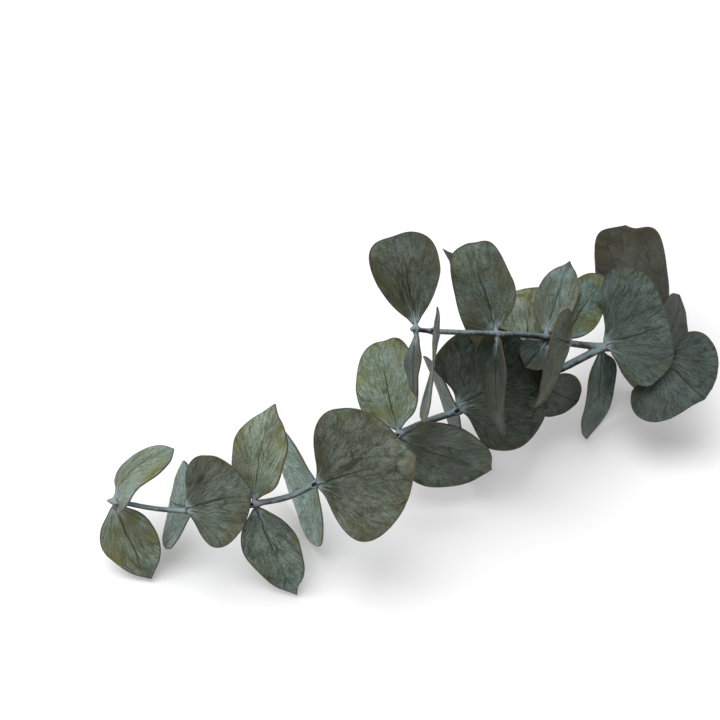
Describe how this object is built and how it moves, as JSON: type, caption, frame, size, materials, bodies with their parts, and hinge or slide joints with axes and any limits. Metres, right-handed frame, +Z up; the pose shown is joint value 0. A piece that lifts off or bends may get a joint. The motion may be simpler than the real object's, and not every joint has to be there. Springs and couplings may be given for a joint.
{
  "type": "eucalyptus branch",
  "caption": "Cut eucalyptus branch that forks into two twigs, with round grey-green leaves in crossed pairs on short stalks, lying on a surface.",
  "frame": {"origin": "centre of the branch's bounding box in plan, at the height of the surface it lies on", "axes": "+Z up from the surface; +X along the branch's length towards the cut end, -X towards the long twig's tip; -Y towards the viewer of the picture"},
  "size_m": [0.2191, 0.1403, 0.1007],
  "materials": {
    "stem": "matt young bark with a pale blue-grey wax bloom, darker beneath",
    "leaf_blue_green": "waxy, soft low sheen, mottled blue-grey bloom over green, fine dark veins",
    "leaf_olive": "waxy, soft low sheen, olive green with paler bloom and yellow-brown margins",
    "leaf_dark_green": "waxy, soft low sheen, dark grey-green with thin bloom, fine veins"
  },
  "bodies": {
    "root": {"stem": "stem", "leaf_fork_back": "leaf_blue_green", "leaf_fork_front": "leaf_blue_green", "leaf_long_1_down": "leaf_blue_green", "leaf_long_1_up": "leaf_olive", "leaf_long_2_back": "leaf_blue_green", "leaf_long_2_front": "leaf_dark_green", "leaf_long_3_down": "leaf_dark_green", "leaf_long_3_up": "leaf_olive", "leaf_long_4_back": "leaf_blue_green", "leaf_long_4_front": "leaf_blue_green", "leaf_long_5_down": "leaf_dark_green", "leaf_long_5_up": "leaf_olive", "leaf_long_6_back": "leaf_blue_green", "leaf_long_6_front": "leaf_blue_green", "leaf_long_7_down": "leaf_olive", "leaf_long_7_up": "leaf_olive", "leaf_main_1_down": "leaf_dark_green", "leaf_main_1_up": "leaf_olive", "leaf_main_2_back": "leaf_blue_green", "leaf_main_2_front": "leaf_blue_green", "leaf_short_1_back": "leaf_olive", "leaf_short_1_front": "leaf_olive", "leaf_short_2_down": "leaf_blue_green", "leaf_short_2_up": "leaf_blue_green", "leaf_short_3_down": "leaf_dark_green", "leaf_short_3_up": "leaf_dark_green", "leaf_short_4_front": "leaf_blue_green", "leaf_short_5_down": "leaf_dark_green", "leaf_short_5_up": "leaf_olive"}
  },
  "joints": []
}
